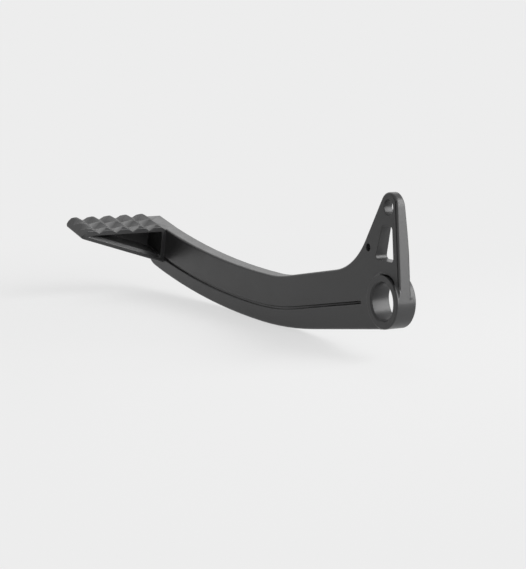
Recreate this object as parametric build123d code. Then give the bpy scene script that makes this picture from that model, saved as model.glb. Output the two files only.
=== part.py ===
from build123d import *
import math
import os

# Rear brake pedal, one aluminium piece, in millimetres.
# The pivot axis is Y through the origin, the arm runs to -X, the foot pad stands out to -Y, +Z is up.

# Pivot boss: proud of the near side of the arm and blended into it, flush with its far side
PIVOT_BORE = 15.0
BOSS_DIAMETER = 21.6
BOSS_LENGTH = 8.9
BOSS_PROUD = 1.4
BORE_CHAMFER = 0.6
BOSS_CHAMFER = 0.4

# Arm: a bar that droops from the boss, bottoms out and rises to the pad
TOP_DROOP = 10.6
TOP_HEIGHT = 14.6
TOP_DIP = 0.8
TOP_BEND_RADIUS = 90.0
BOTTOM_DROOP = 8.9
BOTTOM_DIP = 22.8
BOTTOM_BEND_RADIUS = 280.0
EDGE_RADIUS = 1.0
NOSE_RADIUS = 12.0

# Crank that pushes the master cylinder rod, milled thinner than the arm on its far side
CRANK_HEIGHT = 36.6
CRANK_OFFSET = 1.9
CRANK_THICKNESS = 5.3
EYE_DIAMETER = 11.6
EYE_THICKNESS = 3.8
PUSHROD_HOLE = 6.1
PUSHROD_CHAMFER = 0.15
CRANK_RAKE = 56.3
CRANK_BLEND_RADIUS = 34.0
TAPER_START = 15.6
TAPER_BLEND_RADIUS = 40.0
RELIEF_REACH = 34.0
RELIEF_RUN = 14.0
RELIEF_RADIUS = 10.0

# Lightening window and return spring hole in the crank
WINDOW_WALL = 3.7
WINDOW_FLOOR = 4.9
WINDOW_HEAD = 7.2
WINDOW_BOTTOM_WIDTH = 12.8
WINDOW_TOP_WIDTH = 6.9
WINDOW_CORNER = 1.5
SPRING_HOLE = 3.2
SPRING_HEIGHT = 19.8
SPRING_SETBACK = 3.7

# Styling groove that parts the web of the arm from its lower flange
FLANGE_HEIGHT = 7.5
GROOVE_DROP = 14.1
GROOVE_BEND_RADIUS = 180.0
GROOVE_WIDTH = 0.9
GROOVE_DEPTH = 1.4
GROOVE_LIP_RADIUS = 0.8
GROOVE_END_GAP = 6.5

# Foot pad: a hollow wedge with a toothed deck
PAD_REACH = 196.2
PAD_RISE = 8.8
PAD_TILT = 12.0
PAD_WIDTH = 44.6
PAD_LENGTH = 22.0
PAD_CORNER = 2.0
PAD_SIDE_DEPTH = 22.3
PAD_ROOT_DEPTH = 17.7
PAD_TIP_DEPTH = 2.6
TIP_BEVEL = 1.6
DECK_WALL = 1.1
FLANGE_WALL = 3.3
MOUTH_WALL = 1.9
MOUTH_FLARE = 1.6
SIDE_WALL = 1.8
POCKET_DEPTH = 16.0
POCKET_CORNER = 0.8
POCKET_TIP_RADIUS = 0.3
PAD_EDGE_RADIUS = 1.2

# Teeth, left standing between two crossed sets of grooves
TOOTH_COLUMNS = 5
TOOTH_ROWS = 3
TOOTH_HEIGHT = 2.1
TOOTH_LAND = 0.9
TOOTH_ROOT = 0.6

boss_radius = BOSS_DIAMETER / 2
eye_radius = EYE_DIAMETER / 2
eye_centre = Vector(CRANK_OFFSET, CRANK_HEIGHT)
far_face = BOSS_LENGTH / 2
near_face = far_face - BOSS_PROUD
boss_blend = BOSS_PROUD - 1.5 * BOSS_CHAMFER
crank_far = CRANK_THICKNESS - near_face
pad_end = near_face + PAD_WIDTH
tooth_pitch = PAD_WIDTH / TOOTH_COLUMNS
first_row = (PAD_LENGTH - (TOOTH_ROWS - 1) * tooth_pitch) / 2
pad_slope = (PAD_ROOT_DEPTH - PAD_TIP_DEPTH) / PAD_WIDTH

# Deck frame: x forward along the pad, y outward from the pivot plane, z square to the deck
tilt = math.radians(PAD_TILT)
deck = Plane(
    origin=(-PAD_REACH, 0, PAD_RISE),
    x_dir=(-math.cos(tilt), 0, math.sin(tilt)),
    z_dir=(math.sin(tilt), 0, math.cos(tilt)),
)
deck_rear = Plane(origin=deck.origin, x_dir=deck.y_dir, z_dir=deck.x_dir)
deck_side = Plane(origin=deck.origin, x_dir=deck.x_dir, z_dir=-deck.y_dir)


def heading(degrees):
    """Unit vector in the side view at an angle from +X."""
    return Vector(math.cos(math.radians(degrees)), math.sin(math.radians(degrees)))


def meet(normal_a, reach_a, normal_b, reach_b):
    """Point where two lines cross, each given by its unit normal and its distance from the pivot."""
    cross = normal_a.X * normal_b.Y - normal_a.Y * normal_b.X
    x = (reach_a * normal_b.Y - reach_b * normal_a.Y) / cross
    y = (normal_a.X * reach_b - normal_b.X * reach_a) / cross
    return Vector(x, y)


def on_deck(forward, up):
    """Side view point given along and square to the deck."""
    point = deck_side.from_local_coords(Vector(forward, up))
    return Vector(point.X, point.Z)


# Lines of the side view, each with its normal
level = Vector(0, 1)
top_up = heading(90 + TOP_DROOP)
bottom_up = heading(90 + BOTTOM_DROOP)
crank_front = heading(90 + CRANK_RAKE)
crank_front_reach = eye_centre.dot(crank_front) + eye_radius
crank_rear_angle = math.degrees(
    math.atan2(CRANK_HEIGHT, CRANK_OFFSET) - math.acos((boss_radius - eye_radius) / eye_centre.length)
)
crank_rear = heading(crank_rear_angle)


def bent_line(up, reach, dip_level, bend_radius, pad_point):
    """Line of the arm from the end of its straight stretch, down a bend to its lowest point, up to the pad."""
    corner = meet(up, reach, level, dip_level)
    turn = math.atan2(-up.X, up.Y)
    leg = bend_radius * math.tan(turn / 2)
    straight_end = corner + Vector(up.Y, -up.X) * leg
    dip = corner - Vector(leg, 0)
    bend = TangentArc(dip, straight_end, tangent=(1, 0))
    rise = TangentArc(dip, pad_point, tangent=(-1, 0))
    return straight_end, [bend, rise]


def side_outline():
    """Side view of the arm and crank as one closed face."""
    crank_corner = meet(crank_front, crank_front_reach, top_up, TOP_HEIGHT)
    eye_front = eye_centre + crank_front * eye_radius
    eye_rear = eye_centre + crank_rear * eye_radius
    eye_top = eye_centre + (crank_front + crank_rear).normalized() * eye_radius
    hub_low = -bottom_up * boss_radius
    hub_rear = crank_rear * boss_radius
    hub_middle = (crank_rear - bottom_up).normalized() * boss_radius
    pad_foot = on_deck(0, -PAD_SIDE_DEPTH)
    nose_foot = on_deck(PAD_LENGTH - NOSE_RADIUS, -PAD_SIDE_DEPTH)
    nose_front = on_deck(PAD_LENGTH, NOSE_RADIUS - PAD_SIDE_DEPTH)
    top_start, top = bent_line(top_up, TOP_HEIGHT, -TOP_DIP, TOP_BEND_RADIUS, on_deck(0, 0))
    bottom_start, bottom = bent_line(bottom_up, -boss_radius, -BOTTOM_DIP, BOTTOM_BEND_RADIUS, pad_foot)
    rim = Curve() + [
        ThreePointArc(eye_rear, eye_top, eye_front),
        FilletPolyline(eye_front, crank_corner, top_start, radius=CRANK_BLEND_RADIUS),
        *top,
        Polyline(on_deck(0, 0), on_deck(PAD_LENGTH, 0), nose_front),
        RadiusArc(nose_front, nose_foot, -NOSE_RADIUS),
        Line(nose_foot, pad_foot),
        *bottom,
        Line(bottom_start, hub_low),
        ThreePointArc(hub_low, hub_middle, hub_rear),
        Line(hub_rear, eye_rear),
    ]
    return make_face(rim)


def crank_relief():
    """What is milled off the far side of the crank: down from the arm by a smooth step."""
    end = 2 * BOSS_DIAMETER
    floor_line = FilletPolyline(
        (-RELIEF_REACH - end, far_face), (-RELIEF_REACH, far_face), (-RELIEF_REACH + RELIEF_RUN, crank_far),
        (end, crank_far), radius=RELIEF_RADIUS,
    )
    outside = Polyline(floor_line @ 1, (end, 2 * far_face), (-RELIEF_REACH - end, 2 * far_face), floor_line @ 0)
    plan = make_face(Curve() + [floor_line, outside])
    return extrude(plan, CRANK_HEIGHT + EYE_DIAMETER, both=True)


def crank_taper():
    """What is milled off the far side of the crank so that it thins towards the eye."""
    lean = (CRANK_THICKNESS - EYE_THICKNESS) / (CRANK_HEIGHT - TAPER_START)
    top = CRANK_HEIGHT + EYE_DIAMETER
    foot = TAPER_START - TAPER_BLEND_RADIUS * lean
    floor_line = FilletPolyline(
        (crank_far, foot), (crank_far, TAPER_START), (crank_far - lean * (top - TAPER_START), top),
        radius=TAPER_BLEND_RADIUS,
    )
    outside = Polyline(floor_line @ 1, (2 * far_face, top), (2 * far_face, foot), floor_line @ 0)
    profile = make_face(Curve() + [floor_line, outside])
    return extrude(Plane.YZ * profile, 2 * BOSS_DIAMETER, both=True)


def arm_and_crank():
    """Arm and crank, cut from one plate and rounded along the edges, with the crank then thinned."""
    plate = extrude(Plane.XZ.offset(-far_face) * side_outline(), far_face + near_face)
    plate -= crank_relief()
    rim = plate.edges()
    for axis in (Axis.X, Axis.Y, Axis.Z):
        rim = rim.filter_by(axis, reverse=True)
    return fillet(rim, EDGE_RADIUS) - crank_taper()


def groove():
    """Shallow groove along the near face of the arm, between its web and its lower flange."""
    arm_start = on_deck(0, FLANGE_HEIGHT - PAD_SIDE_DEPTH)
    pad_start = on_deck(GROOVE_WIDTH + GROOVE_LIP_RADIUS, FLANGE_HEIGHT - PAD_SIDE_DEPTH)
    reach = TOP_HEIGHT - GROOVE_DROP
    bend_end, bends = bent_line(top_up, reach, FLANGE_HEIGHT - BOTTOM_DIP, GROOVE_BEND_RADIUS, arm_start)
    boss_end = meet(top_up, reach, Vector(-1, 0), boss_radius + GROOVE_END_GAP)
    strip = trace(Curve() + [Line(pad_start, arm_start), *bends, Line(bend_end, boss_end)], GROOVE_WIDTH)
    return Pos(0, -near_face, 0) * extrude(Plane.XZ * strip, GROOVE_DEPTH, both=True)


def grooved_arm():
    """Arm with its groove, rounded at the lips."""
    arm = arm_and_crank() - groove()
    web = arm.faces().sort_by(Axis.Y)[0]
    return fillet(web.inner_wires()[0].edges(), GROOVE_LIP_RADIUS)


def boss():
    """Pivot boss, turned with a blend into the near side of the arm and kept within its side view."""
    face_radius = boss_radius - BOSS_CHAMFER
    blend_radius = boss_radius + boss_blend
    blend = TangentArc((boss_radius, -near_face - boss_blend), (blend_radius, -near_face), tangent=(0, 1))
    inside = Polyline(
        blend @ 1, (blend_radius, 0), (boss_radius, 0), (boss_radius, far_face - BOSS_CHAMFER),
        (face_radius, far_face), (0, far_face), (0, -far_face), (face_radius, -far_face),
        (boss_radius, BOSS_CHAMFER - far_face), blend @ 0,
    )
    barrel = revolve(make_face(Curve() + [blend, inside]), Axis.Y)
    return barrel & extrude(Plane.XZ * side_outline(), BOSS_LENGTH, both=True)


def pad_plan():
    """Plan of the pad on the deck, from the pivot plane to the rounded outer end."""
    plan = Rectangle(PAD_LENGTH, pad_end, align=(Align.MIN, Align.MIN))
    return fillet(plan.vertices().group_by(Axis.Y)[-1], PAD_CORNER)


def pocket_section(wall):
    """Three-cornered section of the hollow, with a wall left under it."""
    inner = near_face + SIDE_WALL
    floor_at_inner = pad_slope * SIDE_WALL - PAD_ROOT_DEPTH + wall * math.hypot(1, pad_slope)
    outer = inner - (DECK_WALL + floor_at_inner) / pad_slope
    section = make_face(Polyline((inner, -DECK_WALL), (outer, -DECK_WALL), (inner, floor_at_inner), close=True))
    section = fillet(section.vertices().group_by(Axis.X)[0], POCKET_CORNER)
    return fillet(section.vertices().sort_by(Axis.X)[-1], POCKET_TIP_RADIUS)


def pocket():
    """Hollow in the rear of the pad, between the deck and the lower flange, flared at its mouth."""
    hollow = extrude(deck_rear * pocket_section(FLANGE_WALL), POCKET_DEPTH)
    mouth = [deck_rear * pocket_section(MOUTH_WALL), deck_rear.offset(MOUTH_FLARE) * pocket_section(FLANGE_WALL)]
    return hollow + loft(mouth, ruled=True)


def pad_side():
    """Side view of the pad on the deck, with its front rounded like the nose of the arm."""
    side = Rectangle(PAD_LENGTH, PAD_SIDE_DEPTH, align=(Align.MIN, Align.MAX))
    front = side.vertices().group_by(Axis.X)[-1]
    return fillet(front.sort_by(Axis.Y)[0], NOSE_RADIUS)


def pad():
    """Hollow wedge that carries the deck, with the rim of its underside rounded."""
    section = Polyline(
        (0, 0), (pad_end, 0), (pad_end, -PAD_TIP_DEPTH), (near_face, -PAD_ROOT_DEPTH), (0, -PAD_ROOT_DEPTH),
        close=True,
    )
    wedge = extrude(deck_rear * make_face(section), PAD_LENGTH)
    wedge &= extrude(deck * pad_plan(), -PAD_ROOT_DEPTH)
    wedge &= extrude(deck_side * pad_side(), -pad_end)
    below = deck.from_local_coords(Vector(PAD_LENGTH / 2, pad_end / 2, -PAD_ROOT_DEPTH))
    underside = wedge.faces().sort_by_distance(below)[0]
    rim = underside.edges().filter_by_position(Axis.Y, -pad_end, -near_face - SIDE_WALL)
    return fillet(rim, PAD_EDGE_RADIUS) - pocket()


def teeth():
    """Rows of blunt pyramids on the deck."""
    field = extrude(deck * pad_plan(), TOOTH_HEIGHT)
    field -= deck * Box(3 * PAD_LENGTH, 2 * near_face, 3 * TOOTH_HEIGHT)
    half_root = TOOTH_ROOT / 2
    half_mouth = (tooth_pitch - TOOTH_LAND) / 2
    vee = make_face(Polyline(
        (-half_root, 0), (half_root, 0), (half_mouth, TOOTH_HEIGHT), (-half_mouth, TOOTH_HEIGHT), close=True,
    ))
    for column in range(TOOTH_COLUMNS + 1):
        across = near_face + column * tooth_pitch
        field -= extrude(deck_rear * Pos(across, 0) * vee, PAD_LENGTH)
    for row in range(TOOTH_ROWS + 1):
        forward = first_row + (row - 0.5) * tooth_pitch
        field -= extrude(deck_side * Pos(forward, 0) * vee, -2 * pad_end)
    return field


def tip_bevel():
    """What is milled off the outer end of the deck, down the flank of its last teeth."""
    low = (pad_end + TOOTH_HEIGHT, -TIP_BEVEL - TOOTH_HEIGHT)
    high = (pad_end - TIP_BEVEL - 2 * TOOTH_HEIGHT, 2 * TOOTH_HEIGHT)
    section = make_face(Polyline(low, (low[0], high[1]), high, close=True))
    return extrude(deck_rear * section, 2 * PAD_LENGTH, both=True)


def bore(diameter, chamfer_size, length):
    """Round hole along Y with a chamfer at each end, centred on the pivot plane."""
    drill = Rot(X=90) * Cylinder(diameter / 2, 3 * length)
    for side in (-1, 1):
        mouth = Rot(X=90 * side) * Cone(diameter / 2, diameter / 2 + 2 * chamfer_size, 2 * chamfer_size)
        drill += Pos(0, -side * length / 2, 0) * mouth
    return drill


def window():
    """Lightening window between the boss and the eye of the crank."""
    bottom = boss_radius + WINDOW_FLOOR
    top = CRANK_HEIGHT - WINDOW_HEAD
    rear_reach = boss_radius - WINDOW_WALL
    low_rear = meet(crank_rear, rear_reach, level, bottom)
    high_rear = meet(crank_rear, rear_reach, level, top)
    low_front = low_rear - Vector(WINDOW_BOTTOM_WIDTH, 0)
    high_front = high_rear - Vector(WINDOW_TOP_WIDTH, 0)
    opening = make_face(Polyline(low_rear, high_rear, high_front, low_front, close=True))
    opening = fillet(opening.vertices(), WINDOW_CORNER)
    return extrude(Plane.XZ * opening, BOSS_LENGTH, both=True)


def spring_hole():
    """Hole for the hook of the return spring, near the front edge of the crank."""
    centre = meet(crank_front, crank_front_reach - SPRING_SETBACK, level, SPRING_HEIGHT)
    return Pos(centre.X, 0, centre.Y) * Rot(X=90) * Cylinder(SPRING_HOLE / 2, 2 * BOSS_LENGTH)


def brake_pedal():
    """The whole pedal as one solid."""
    body = grooved_arm() + boss() + (pad() + teeth() - tip_bevel())
    body -= bore(PIVOT_BORE, BORE_CHAMFER, BOSS_LENGTH)
    body -= Pos(CRANK_OFFSET, 0, CRANK_HEIGHT) * bore(PUSHROD_HOLE, PUSHROD_CHAMFER, 2 * near_face)
    body -= window() + spring_hole()
    return body


os.makedirs("parts", exist_ok=True)
export_step(brake_pedal(), "parts/brake_pedal.step")
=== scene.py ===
import math

import bmesh
import bpy
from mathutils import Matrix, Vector


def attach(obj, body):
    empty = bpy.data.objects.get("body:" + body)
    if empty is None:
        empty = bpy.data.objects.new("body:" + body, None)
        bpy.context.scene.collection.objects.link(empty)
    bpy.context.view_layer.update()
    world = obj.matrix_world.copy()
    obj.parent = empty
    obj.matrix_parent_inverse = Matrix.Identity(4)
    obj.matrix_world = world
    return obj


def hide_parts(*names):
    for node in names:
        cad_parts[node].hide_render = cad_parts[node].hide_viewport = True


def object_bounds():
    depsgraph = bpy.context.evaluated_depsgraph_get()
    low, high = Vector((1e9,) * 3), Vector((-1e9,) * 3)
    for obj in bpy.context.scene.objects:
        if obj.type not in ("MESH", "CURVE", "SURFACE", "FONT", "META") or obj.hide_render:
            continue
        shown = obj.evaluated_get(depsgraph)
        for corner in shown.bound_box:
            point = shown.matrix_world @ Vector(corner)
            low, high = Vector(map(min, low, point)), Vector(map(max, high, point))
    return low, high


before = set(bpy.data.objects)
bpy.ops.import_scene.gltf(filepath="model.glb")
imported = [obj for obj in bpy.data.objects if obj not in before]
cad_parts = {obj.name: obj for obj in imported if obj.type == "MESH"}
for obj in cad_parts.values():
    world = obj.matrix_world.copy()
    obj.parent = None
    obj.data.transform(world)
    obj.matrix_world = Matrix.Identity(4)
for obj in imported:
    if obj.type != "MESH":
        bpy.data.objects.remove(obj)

cad_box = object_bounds()

# The pedal
# One piece of aluminium: arm, crank, pivot boss and hollow toothed pad in one.
# It is milled, bead blasted to a fine even grain and anodised satin black.
WELD = 1e-6
SMOOTH_ANGLE = math.radians(32)
NEAR_FACE = -0.00305
BOSS_RADIUS = 0.0108
EYE_RADIUS = 0.0058
EYE_CENTRE = Vector((0.0019, 0.0366))

GROOVE_FLOOR = -0.00165
GROOVE_RISE = 0.00055
GROOVE_SINK = 0.0024
GROOVE_SLOPE_START = -0.075
GROOVE_SLOPE_END = -0.017

RIM_WIDTH = 0.0010
RIM_LINE_WIDTH = 0.0005
RIM_LINE_DEPTH = 0.0009
RIM_LINE_FOOT = 0.0060
RIM_LINE_PAST_EYE = 0.0024

CRESCENT_START = math.radians(31)
CRESCENT_END = math.radians(98)
CRESCENT_BITE = 0.00044
CRESCENT_TIP = 0.0001
CRESCENT_SWELL = 0.00055
CRESCENT_DEPTH = 0.0018
CRESCENT_STEPS = 24
CUTTER_CLEARANCE = 0.0020

BLACK_DEEP = (0.020, 0.020, 0.0205, 1)
BLACK_PALE = (0.031, 0.031, 0.0315, 1)
PATCH_SIZE = 0.012
PATCH_DETAIL = 4
GRAIN_SIZE = 0.00025
GRAIN_DETAIL = 3
GRAIN_DEPTH = 0.00002
GRAIN_STRENGTH = 0.35
COATING_IOR = 1.5
COATING_SHINE = 0.35
UNEVEN_LOW = 0.6
UNEVEN_HIGH = 1.4
ROUGHNESS_LOW = 0.28
ROUGHNESS_HIGH = 0.42
EDGE_BREAK = 0.0004
EDGE_SAMPLES = 8


def slope_groove(form):
    """Runs the floor of the arm's groove from a shallow line at the pad down to a deep slot at the boss."""
    for vert in form.verts:
        if abs(vert.co.y - GROOVE_FLOOR) < WELD:
            run = (vert.co.x - GROOVE_SLOPE_START) / (GROOVE_SLOPE_END - GROOVE_SLOPE_START)
            run = min(max(run, 0), 1)
            vert.co.y += run * GROOVE_SINK - (1 - run) * GROOVE_RISE


def rim_line():
    """Side view outline of the fine line that parts the crank's near face from its rear rim."""
    eye_rise = math.atan2(EYE_CENTRE.y, EYE_CENTRE.x)
    lean = eye_rise - math.acos((BOSS_RADIUS - EYE_RADIUS) / EYE_CENTRE.length)
    out = Vector((math.cos(lean), math.sin(lean)))
    up = Vector((-out.y, out.x))
    inset = out * (BOSS_RADIUS - RIM_WIDTH)
    low = inset + up * RIM_LINE_FOOT
    high = inset + up * (EYE_CENTRE.dot(up) + RIM_LINE_PAST_EYE)
    half = out * RIM_LINE_WIDTH / 2
    return [low - half, low + half, high + half, high - half]


def crescent():
    """Side view outline of the slot between the crank and the top of the boss, widest at its middle."""
    boss_side = []
    crank_side = []
    for step in range(CRESCENT_STEPS + 1):
        share = step / CRESCENT_STEPS
        angle = CRESCENT_START + share * (CRESCENT_END - CRESCENT_START)
        way = Vector((math.cos(angle), math.sin(angle)))
        width = CRESCENT_TIP + CRESCENT_SWELL * math.sin(math.pi * share)
        boss_side.append(way * (BOSS_RADIUS - CRESCENT_BITE))
        crank_side.append(way * (BOSS_RADIUS - CRESCENT_BITE + width))
    return boss_side + crank_side[::-1]


def apply_modifiers(piece):
    """Turns a piece and its modifiers into a plain mesh."""
    shaped = piece.evaluated_get(bpy.context.evaluated_depsgraph_get())
    piece.data = bpy.data.meshes.new_from_object(shaped)
    piece.modifiers.clear()


def cut(piece, outline, depth):
    """Cuts a side view outline into the crank's near face, down to a depth."""
    levels = (NEAR_FACE - CUTTER_CLEARANCE, NEAR_FACE + depth)
    count = len(outline)
    points = [(point.x, level, point.y) for level in levels for point in outline]
    faces = [tuple(range(count)), tuple(range(2 * count - 1, count - 1, -1))]
    for this in range(count):
        after = (this + 1) % count
        faces.append((this, this + count, after + count, after))
    mesh = bpy.data.meshes.new("cutter")
    mesh.from_pydata(points, [], faces)
    form = bmesh.new()
    form.from_mesh(mesh)
    bmesh.ops.recalc_face_normals(form, faces=form.faces)
    form.to_mesh(mesh)
    form.free()
    cutter = bpy.data.objects.new("cutter", mesh)
    bpy.context.scene.collection.objects.link(cutter)
    trim = piece.modifiers.new("cut", "BOOLEAN")
    trim.operation = "DIFFERENCE"
    trim.solver = "EXACT"
    trim.object = cutter
    apply_modifiers(piece)
    bpy.data.objects.remove(cutter)


def smooth_copy(node, name):
    """The node's solid as one welded mesh with its fine cuts, flat faces flat and rounded edges smooth."""
    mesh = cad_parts[node].data.copy()
    form = bmesh.new()
    form.from_mesh(mesh)
    bmesh.ops.remove_doubles(form, verts=form.verts, dist=WELD)
    slope_groove(form)
    form.to_mesh(mesh)
    form.free()
    piece = bpy.data.objects.new(name, mesh)
    bpy.context.scene.collection.objects.link(piece)
    cut(piece, rim_line(), RIM_LINE_DEPTH)
    cut(piece, crescent(), CRESCENT_DEPTH)
    form = bmesh.new()
    form.from_mesh(piece.data)
    for face in form.faces:
        face.smooth = True
    for edge in form.edges:
        edge.smooth = len(edge.link_faces) == 2 and edge.calc_face_angle(0) < SMOOTH_ANGLE
    form.to_mesh(piece.data)
    form.free()
    weigh = piece.modifiers.new("flat_faces", "WEIGHTED_NORMAL")
    weigh.keep_sharp = True
    apply_modifiers(piece)
    return piece


def black_anodised():
    """Satin black anodised aluminium over a bead blasted grain."""
    material = bpy.data.materials.new("black_anodised")
    material.use_nodes = True
    nodes, links = material.node_tree.nodes, material.node_tree.links
    shader = nodes["Principled BSDF"]
    shader.inputs["IOR"].default_value = COATING_IOR
    shader.inputs["Specular IOR Level"].default_value = COATING_SHINE
    place = nodes.new("ShaderNodeTexCoord")
    patches = nodes.new("ShaderNodeTexNoise")
    patches.inputs["Scale"].default_value = 1 / PATCH_SIZE
    patches.inputs["Detail"].default_value = PATCH_DETAIL
    links.new(place.outputs["Object"], patches.inputs["Vector"])
    tint = nodes.new("ShaderNodeMix")
    tint.data_type = "RGBA"
    tint.inputs["A"].default_value = BLACK_DEEP
    tint.inputs["B"].default_value = BLACK_PALE
    links.new(patches.outputs["Fac"], tint.inputs["Factor"])
    links.new(tint.outputs["Result"], shader.inputs["Base Color"])
    grain = nodes.new("ShaderNodeTexNoise")
    grain.inputs["Scale"].default_value = 1 / GRAIN_SIZE
    grain.inputs["Detail"].default_value = GRAIN_DETAIL
    links.new(place.outputs["Object"], grain.inputs["Vector"])
    uneven = nodes.new("ShaderNodeMath")
    uneven.operation = "ADD"
    links.new(patches.outputs["Fac"], uneven.inputs[0])
    links.new(grain.outputs["Fac"], uneven.inputs[1])
    gloss = nodes.new("ShaderNodeMapRange")
    gloss.inputs["From Min"].default_value = UNEVEN_LOW
    gloss.inputs["From Max"].default_value = UNEVEN_HIGH
    gloss.inputs["To Min"].default_value = ROUGHNESS_LOW
    gloss.inputs["To Max"].default_value = ROUGHNESS_HIGH
    links.new(uneven.outputs["Value"], gloss.inputs["Value"])
    links.new(gloss.outputs["Result"], shader.inputs["Roughness"])
    broken_edge = nodes.new("ShaderNodeBevel")
    broken_edge.samples = EDGE_SAMPLES
    broken_edge.inputs["Radius"].default_value = EDGE_BREAK
    bump = nodes.new("ShaderNodeBump")
    bump.inputs["Strength"].default_value = GRAIN_STRENGTH
    bump.inputs["Distance"].default_value = GRAIN_DEPTH
    links.new(grain.outputs["Fac"], bump.inputs["Height"])
    links.new(broken_edge.outputs["Normal"], bump.inputs["Normal"])
    links.new(bump.outputs["Normal"], shader.inputs["Normal"])
    return material


pedal = smooth_copy("brake_pedal", "pedal")
pedal.data.materials.clear()
pedal.data.materials.append(black_anodised())
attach(pedal, "root")
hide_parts("brake_pedal")

# The floor
# A sheet of pale paper that runs out past the picture, at the same tone as the background.
# It takes a faint soft shadow close to the pedal and none further off.
FLOOR_DROP = 0.0005
FLOOR_HALF = 4.0
FLOOR_CORNERS = ((-1, -1), (1, -1), (1, 1), (-1, 1))
PAPER = 0.847
PAPER_DARK = 0.83
PAPER_PALE = 0.86
FIBRES_PER_METRE = 900
SHADOW_SHARE = 0.26
SHADOW_REACH = 0.35


def background_rays(nodes, links):
    """One for rays that show the pale background, straight or in a reflection, nought for rays that light."""
    path = nodes.new("ShaderNodeLightPath")
    shown = path.outputs["Is Camera Ray"]
    for also in ("Is Glossy Ray", "Is Transmission Ray"):
        either = nodes.new("ShaderNodeMath")
        either.operation = "MAXIMUM"
        links.new(shown, either.inputs[0])
        links.new(path.outputs[also], either.inputs[1])
        shown = either.outputs["Value"]
    return shown


def paper():
    """Pale paper: the background's even tone, with a share of true shading near the pedal."""
    material = bpy.data.materials.new("paper")
    material.use_nodes = True
    nodes, links = material.node_tree.nodes, material.node_tree.links
    shader = nodes["Principled BSDF"]
    shader.inputs["Roughness"].default_value = 1.0
    shader.inputs["Specular IOR Level"].default_value = 0.0
    place = nodes.new("ShaderNodeTexCoord")
    fibre = nodes.new("ShaderNodeTexNoise")
    fibre.inputs["Scale"].default_value = FIBRES_PER_METRE
    links.new(place.outputs["Object"], fibre.inputs["Vector"])
    tone = nodes.new("ShaderNodeMapRange")
    tone.inputs["To Min"].default_value = PAPER_DARK
    tone.inputs["To Max"].default_value = PAPER_PALE
    links.new(fibre.outputs["Fac"], tone.inputs["Value"])
    links.new(tone.outputs["Result"], shader.inputs["Base Color"])
    glow = nodes.new("ShaderNodeEmission")
    glow.inputs["Color"].default_value = (PAPER, PAPER, PAPER, 1)
    distance = nodes.new("ShaderNodeVectorMath")
    distance.operation = "LENGTH"
    links.new(place.outputs["Object"], distance.inputs[0])
    plain = nodes.new("ShaderNodeMapRange")
    plain.interpolation_type = "SMOOTHSTEP"
    plain.inputs["From Min"].default_value = 0.0
    plain.inputs["From Max"].default_value = SHADOW_REACH
    plain.inputs["To Min"].default_value = 1 - SHADOW_SHARE
    plain.inputs["To Max"].default_value = 1.0
    links.new(distance.outputs["Value"], plain.inputs["Value"])
    share = nodes.new("ShaderNodeMath")
    share.operation = "MULTIPLY"
    links.new(background_rays(nodes, links), share.inputs[0])
    links.new(plain.outputs["Result"], share.inputs[1])
    mix = nodes.new("ShaderNodeMixShader")
    links.new(share.outputs["Value"], mix.inputs["Fac"])
    links.new(shader.outputs["BSDF"], mix.inputs[1])
    links.new(glow.outputs["Emission"], mix.inputs[2])
    links.new(mix.outputs["Shader"], nodes["Material Output"].inputs["Surface"])
    return material


middle = (cad_box[0] + cad_box[1]) / 2
floor_mesh = bpy.data.meshes.new("floor")
floor_points = [(x * FLOOR_HALF, y * FLOOR_HALF, 0) for x, y in FLOOR_CORNERS]
floor_mesh.from_pydata(floor_points, [], [(0, 1, 2, 3)])
floor = bpy.data.objects.new("floor", floor_mesh)
floor.location = (middle.x, middle.y, cad_box[0].z - FLOOR_DROP)
bpy.context.scene.collection.objects.link(floor)
floor.data.materials.append(paper())

# The light
# A pale room and large soft boxes: a low one and a higher one on the crank's side, which pick out
# the rear edge, the boss and the bore, and a weak one beyond the arm.
ROOM = 0.16
LIGHT_DISTANCE = 1.6


def room():
    """A dim even light whose walls show as the paper's tone, straight and in reflections."""
    world = bpy.data.worlds.new("room")
    world.use_nodes = True
    nodes, links = world.node_tree.nodes, world.node_tree.links
    light = nodes["Background"]
    light.inputs["Color"].default_value = (ROOM, ROOM, ROOM, 1)
    seen = nodes.new("ShaderNodeBackground")
    seen.inputs["Color"].default_value = (PAPER, PAPER, PAPER, 1)
    mix = nodes.new("ShaderNodeMixShader")
    links.new(background_rays(nodes, links), mix.inputs["Fac"])
    links.new(light.outputs["Background"], mix.inputs[1])
    links.new(seen.outputs["Background"], mix.inputs[2])
    links.new(mix.outputs["Shader"], nodes["World Output"].inputs["Surface"])
    return world


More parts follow.
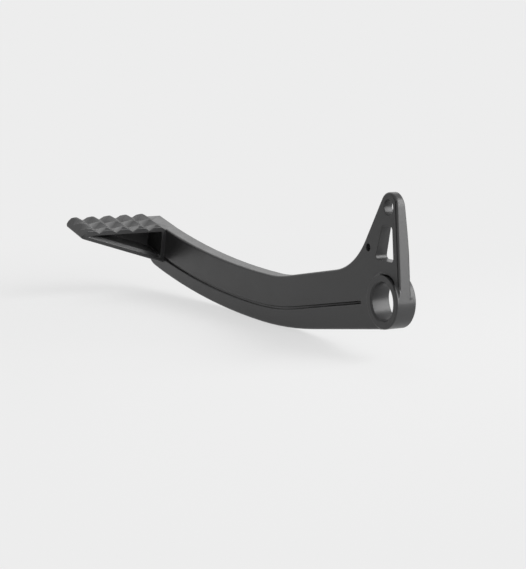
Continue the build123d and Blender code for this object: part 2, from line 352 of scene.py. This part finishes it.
def soft_box(name, bearing, rise, width, height, brightness):
    """A rectangular soft light that faces the pedal from one side and stays out of the picture."""
    turn, lift = math.radians(bearing), math.radians(rise)
    way = Vector((math.cos(lift) * math.cos(turn), math.cos(lift) * math.sin(turn), math.sin(lift)))
    lamp = bpy.data.lights.new(name, "AREA")
    lamp.shape = "RECTANGLE"
    lamp.size, lamp.size_y = width, height
    lamp.energy = math.pi * width * height * brightness
    box = bpy.data.objects.new(name, lamp)
    box.location = middle + way * LIGHT_DISTANCE
    box.rotation_mode = "QUATERNION"
    box.rotation_quaternion = (-way).to_track_quat("-Z", "Y")
    box.visible_camera = False
    bpy.context.scene.collection.objects.link(box)


bpy.context.scene.world = room()
soft_box("right", bearing=21, rise=13, width=1.88, height=0.83, brightness=7.1)
soft_box("right_high", bearing=45, rise=38, width=1.45, height=0.62, brightness=8.2)
soft_box("beyond", bearing=158, rise=42, width=1.20, height=1.40, brightness=0.9)

# The camera
# It stands at the photograph's angle, a little above the pedal, behind and to the pad's side.
# A long lens at the photograph's frame gives the same flat perspective.
CAMERA_PLACE = (0.4766, -0.32075, 0.0920)
CAMERA_AZIMUTH = math.radians(61)
CAMERA_RISE = math.radians(8.5)
FOCAL_PIXELS = 1500
PHOTO_HEIGHT = 569
SENSOR_SIZE = 36
CLIP_START = 0.01
CLIP_END = 20

eye = bpy.data.cameras.new("camera")
eye.sensor_width = SENSOR_SIZE
eye.lens = SENSOR_SIZE * FOCAL_PIXELS / PHOTO_HEIGHT
eye.clip_start = CLIP_START
eye.clip_end = CLIP_END
camera = bpy.data.objects.new("camera", eye)
bpy.context.scene.collection.objects.link(camera)
camera.location = CAMERA_PLACE
camera.rotation_mode = "QUATERNION"
back_way = Vector((
    math.sin(CAMERA_AZIMUTH) * math.cos(CAMERA_RISE),
    -math.cos(CAMERA_AZIMUTH) * math.cos(CAMERA_RISE),
    math.sin(CAMERA_RISE),
))
camera.rotation_quaternion = (-back_way).to_track_quat("-Z", "Y")
bpy.context.scene.camera = camera
bpy.context.scene.view_settings.view_transform = "Standard"
